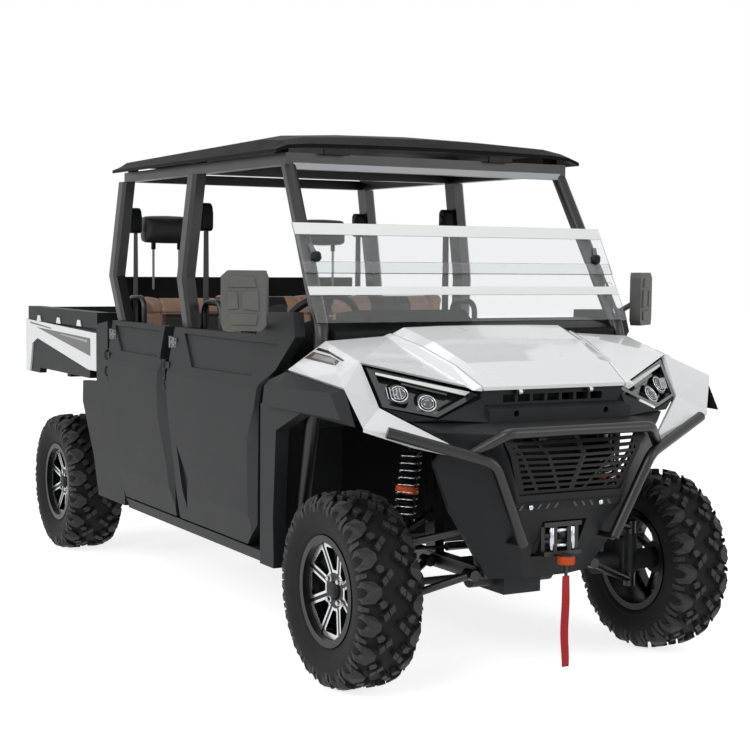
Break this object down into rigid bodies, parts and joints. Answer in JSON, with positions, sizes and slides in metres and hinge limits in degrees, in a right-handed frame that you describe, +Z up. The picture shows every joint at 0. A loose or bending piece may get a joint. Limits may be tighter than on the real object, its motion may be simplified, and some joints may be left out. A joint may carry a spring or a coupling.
{
  "type": "side by side utility vehicle",
  "caption": "Crew side by side utility vehicle with four half doors, a roof, a half windscreen, steered front wheels and a tipping cargo bed.",
  "frame": {"origin": "on the ground under the middle of the overall length and width", "axes": "+X points forward, +Y to the vehicle's left, +Z up"},
  "size_m": [4.04, 1.9468, 1.982],
  "materials": {
    "tyre_rubber": "matt moulded rubber",
    "cast_wheel": "satin painted cast wheel with bright machined edges",
    "frame_paint": "satin powder coat",
    "dark_plastic": "grained moulded plastic",
    "interior_plastic": "fine grained plastic",
    "white_gloss": "gloss painted panel",
    "seat_cover": "stitched covered foam",
    "clear_screen": "clear hard coated sheet",
    "bright_strip": "bright reflective strip",
    "wheel_grip": "soft grip moulding",
    "lamp_lens": "clear lens over a dark housing",
    "tail_lens": "red lens",
    "grille_black": "black moulded grille",
    "machined_steel": "machined steel",
    "cast_metal": "cast, unpainted",
    "damper_metal": "plated damper with a coated spring",
    "silencer_metal": "heat tinted sheet",
    "red_webbing": "woven webbing",
    "belt_webbing": "woven webbing"
  },
  "bodies": {
    "chassis": {"belt_retractors": "interior_plastic", "bull_bar": "frame_paint", "bumper_cover": "dark_plastic", "cab_floor": "interior_plastic", "cage_pillars": "frame_paint", "cage_roof_frame": "frame_paint", "chassis_frame": "frame_paint", "dashboard": "interior_plastic", "driveline": "machined_steel", "engine_block": "cast_metal", "exhaust_muffler": "silencer_metal", "front_fenders": "white_gloss", "front_flares": "dark_plastic", "front_seat": "seat_cover", "front_suspension_arms": "frame_paint", "grille": "grille_black", "headlamps": "lamp_lens", "headrest_posts": "machined_steel", "hip_bars": "frame_paint", "hook_strap": "red_webbing", "nose_panel": "dark_plastic", "radiator": "grille_black", "rear_headrests": "seat_cover", "rear_hub_carriers": "cast_metal", "rear_quarter_panels": "dark_plastic", "rear_seat": "seat_cover", "rear_suspension_arms": "frame_paint", "roof_panel": "dark_plastic", "seat_belts": "belt_webbing", "shock_absorbers": "damper_metal", "side_sills": "dark_plastic", "tow_hitch": "frame_paint", "winch": "machined_steel", "windscreen": "clear_screen", "windscreen_bands": "bright_strip"},
    "knuckle_right": {"knuckle_right": "cast_metal"},
    "knuckle_left": {"knuckle_left": "cast_metal"},
    "wheel_front_left": {"tyre_front_left": "tyre_rubber", "rim_front_left": "cast_wheel"},
    "wheel_front_right": {"tyre_front_right": "tyre_rubber", "rim_front_right": "cast_wheel"},
    "wheel_rear_left": {"tyre_rear_left": "tyre_rubber", "rim_rear_left": "cast_wheel"},
    "wheel_rear_right": {"tyre_rear_right": "tyre_rubber", "rim_rear_right": "cast_wheel"},
    "steering_rack": {"steering_rack": "machined_steel"},
    "steering_wheel": {"steering_wheel": "wheel_grip"},
    "door_front_left": {"door_front_left": "dark_plastic", "mirror_left": "dark_plastic"},
    "door_front_right": {"door_front_right": "dark_plastic", "mirror_right": "dark_plastic"},
    "door_rear_left": {"door_rear_left": "dark_plastic"},
    "door_rear_right": {"door_rear_right": "dark_plastic"},
    "hood": {"hood": "white_gloss"},
    "bed": {"bed_tub": "dark_plastic", "bed_side_panels": "white_gloss", "bed_fenders": "dark_plastic", "tail_lamps": "tail_lens"},
    "tailgate": {"tailgate": "dark_plastic"}
  },
  "joints": [
    {"name": "steer_right", "type": "hinge", "parent": "chassis", "child": "knuckle_right", "pos_m": [1.57, -0.56, 0.343], "axis": [0, 0, 1], "range_deg": [-30, 30]},
    {"name": "steer_left", "type": "hinge", "parent": "chassis", "child": "knuckle_left", "pos_m": [1.57, 0.56, 0.343], "axis": [0, 0, 1], "range_deg": [-30, 30]},
    {"name": "rack_slide", "type": "slide", "parent": "chassis", "child": "steering_rack", "axis": [0, 1, 0], "range_m": [-0.062, 0.062]},
    {"name": "steering_turn", "type": "hinge", "parent": "chassis", "child": "steering_wheel", "pos_m": [0.71, -0.35, 1.215], "axis": [-0.788, 0, 0.6157], "range_deg": [-275, 275]},
    {"name": "spin_front_left", "type": "hinge", "parent": "knuckle_left", "child": "wheel_front_left", "pos_m": [1.57, 0.6625, 0.343], "axis": [0, 1, 0], "continuous": true},
    {"name": "spin_front_right", "type": "hinge", "parent": "knuckle_right", "child": "wheel_front_right", "pos_m": [1.57, -0.6625, 0.343], "axis": [0, 1, 0], "continuous": true},
    {"name": "spin_rear_left", "type": "hinge", "parent": "chassis", "child": "wheel_rear_left", "pos_m": [-1.41, 0.6525, 0.343], "axis": [0, 1, 0], "continuous": true},
    {"name": "spin_rear_right", "type": "hinge", "parent": "chassis", "child": "wheel_rear_right", "pos_m": [-1.41, -0.6525, 0.343], "axis": [0, 1, 0], "continuous": true},
    {"name": "door_front_left_swing", "type": "hinge", "parent": "chassis", "child": "door_front_left", "pos_m": [0.117, 0.776, 1], "axis": [0, 0, 1], "range_deg": [0, 60]},
    {"name": "door_front_right_swing", "type": "hinge", "parent": "chassis", "child": "door_front_right", "pos_m": [0.117, -0.776, 1], "axis": [0, 0, -1], "range_deg": [0, 60]},
    {"name": "door_rear_left_swing", "type": "hinge", "parent": "chassis", "child": "door_rear_left", "pos_m": [-0.625, 0.776, 1], "axis": [0, 0, 1], "range_deg": [0, 60]},
    {"name": "door_rear_right_swing", "type": "hinge", "parent": "chassis", "child": "door_rear_right", "pos_m": [-0.625, -0.776, 1], "axis": [0, 0, -1], "range_deg": [0, 60]},
    {"name": "hood_swing", "type": "hinge", "parent": "chassis", "child": "hood", "pos_m": [1.846, 0, 1.035], "axis": [0, 1, 0], "range_deg": [0, 60]},
    {"name": "bed_tilt", "type": "hinge", "parent": "chassis", "child": "bed", "pos_m": [-1.85, 0, 0.872], "axis": [0, -1, 0], "range_deg": [0, 35]},
    {"name": "tailgate_swing", "type": "hinge", "parent": "bed", "child": "tailgate", "pos_m": [-1.998, 0, 0.93], "axis": [0, -1, 0], "range_deg": [0, 90]}
  ],
  "couplings": [
    {"joint": "steer_left", "follows": "steer_right", "ratio": 1},
    {"joint": "rack_slide", "follows": "steer_right", "m_per_rad": -0.112},
    {"joint": "steering_turn", "follows": "steer_right", "ratio": 9}
  ]
}
